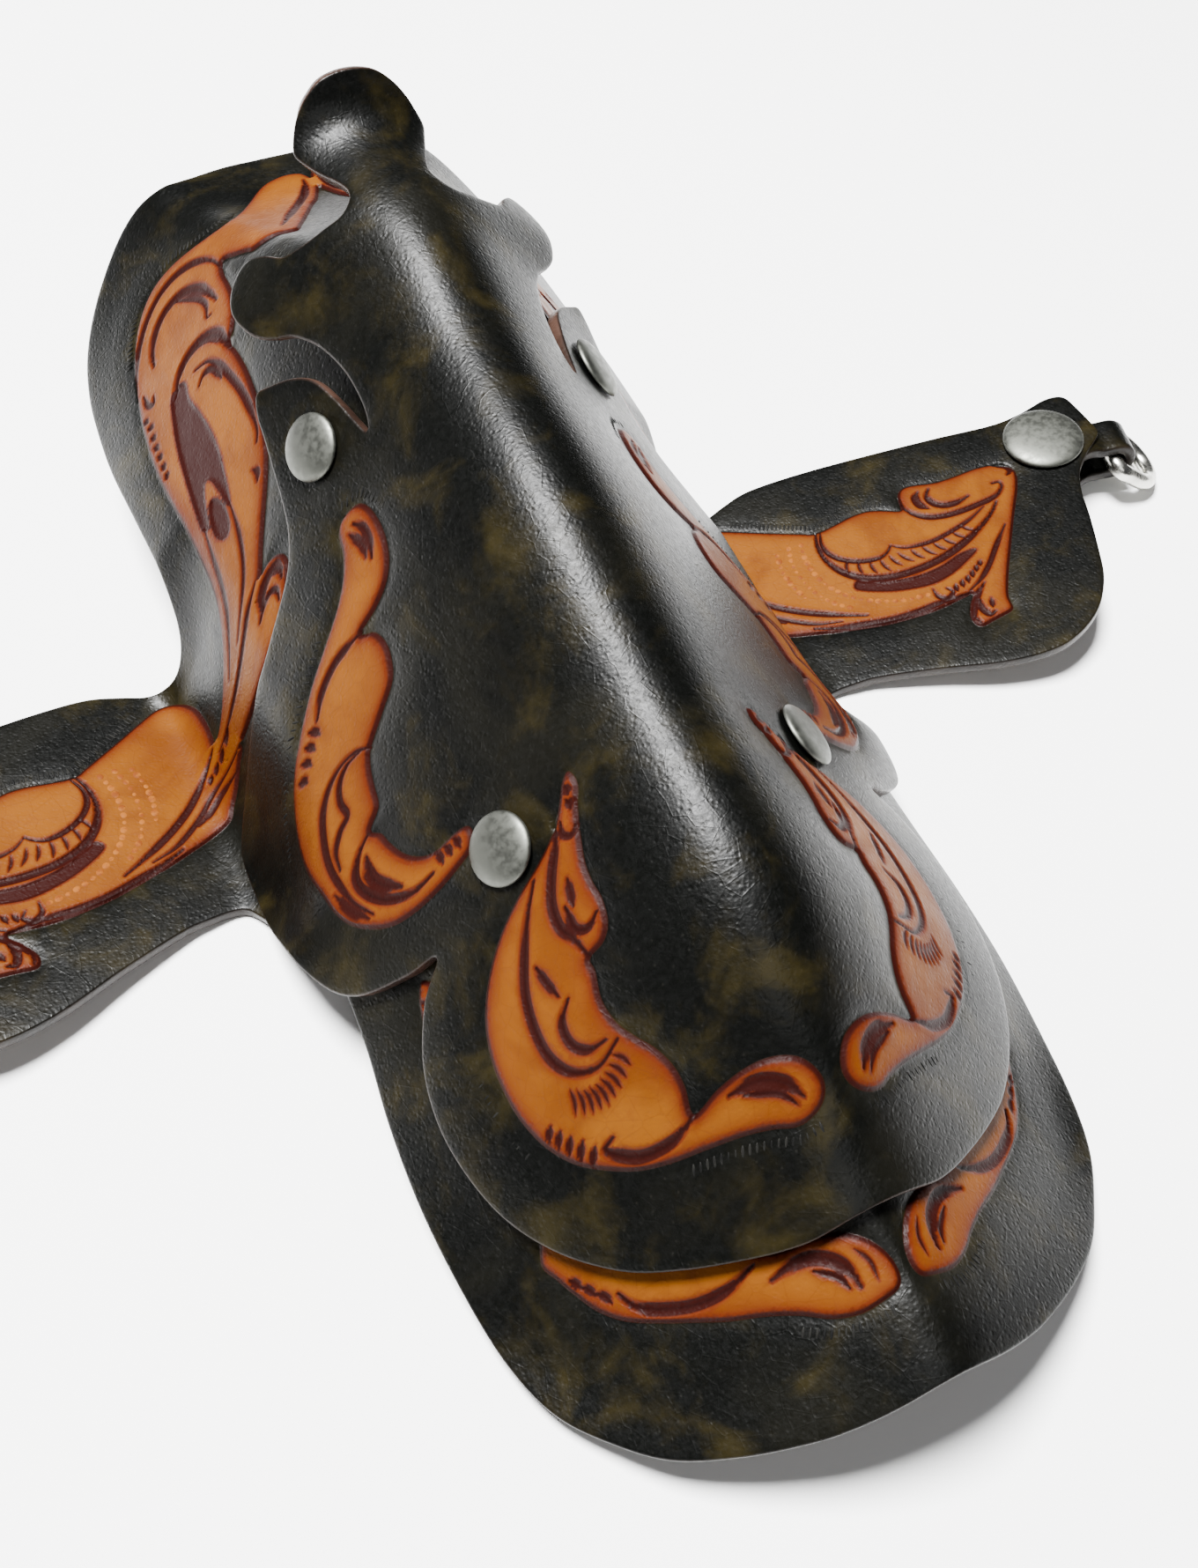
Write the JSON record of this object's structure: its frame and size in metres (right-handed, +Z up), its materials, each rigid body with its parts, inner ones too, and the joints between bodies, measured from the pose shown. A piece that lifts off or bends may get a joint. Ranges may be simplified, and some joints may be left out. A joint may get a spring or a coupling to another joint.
{
  "type": "miniature western saddle",
  "caption": "Miniature tooled-leather western saddle: arched seat leather riveted to a base leather with side wings that end in snapped keepers and dee rings.",
  "frame": {"origin": "on the surface it lies on, on its centre line, at the middle of its length", "axes": "+X towards the saddle's right-hand wing, +Y towards the horn end, +Z up"},
  "size_m": [0.2814, 0.2245, 0.0885],
  "materials": {
    "seat_leather": "antiqued, waxed",
    "base_leather": "tooled and antiqued",
    "wing_leather": "tooled and antiqued",
    "nickel_caps": "satin nickel plate",
    "rivet_posts": "nickel plate",
    "dee_steel": "polished nickel plate"
  },
  "bodies": {
    "saddle": {"seat_leather": "seat_leather", "base_leather": "base_leather", "front_left_rivet_cap": "nickel_caps", "front_right_rivet_cap": "nickel_caps", "rear_left_rivet_cap": "nickel_caps", "rear_right_rivet_cap": "nickel_caps", "front_left_rivet_post": "rivet_posts", "front_right_rivet_post": "rivet_posts", "rear_left_rivet_post": "rivet_posts", "rear_right_rivet_post": "rivet_posts"},
    "left_wing": {"left_wing": "wing_leather", "left_snap_cap": "nickel_caps", "left_snap_socket": "rivet_posts", "left_snap_stud": "rivet_posts", "left_snap_post": "rivet_posts"},
    "right_wing": {"right_wing": "wing_leather", "right_snap_cap": "nickel_caps", "right_snap_socket": "rivet_posts", "right_snap_stud": "rivet_posts", "right_snap_post": "rivet_posts"},
    "left_dee": {"left_dee_ring": "dee_steel"},
    "right_dee": {"right_dee_ring": "dee_steel"}
  },
  "joints": [
    {"name": "left_wing_fold", "type": "hinge", "parent": "saddle", "child": "left_wing", "pos_m": [-0.053, 0.0182, 0.00115], "axis": [0, 1, 0], "range_deg": [-1.5, 75], "stiffness_Nm_per_rad": 0.25, "springref_deg": 1.03},
    {"name": "right_wing_fold", "type": "hinge", "parent": "saddle", "child": "right_wing", "pos_m": [0.053, 0.0182, 0.00115], "axis": [0, -1, 0], "range_deg": [-1.5, 75], "stiffness_Nm_per_rad": 0.25, "springref_deg": 1.03},
    {"name": "left_dee_swing", "type": "hinge", "parent": "left_wing", "child": "left_dee", "pos_m": [-0.1294, 0.02265, 0.00797], "axis": [-0.2726, 0.9613, 0.0407], "range_deg": [0, 150]},
    {"name": "right_dee_swing", "type": "hinge", "parent": "right_wing", "child": "right_dee", "pos_m": [0.1294, 0.02265, 0.00797], "axis": [-0.2726, -0.9613, -0.0407], "range_deg": [0, 150]}
  ]
}
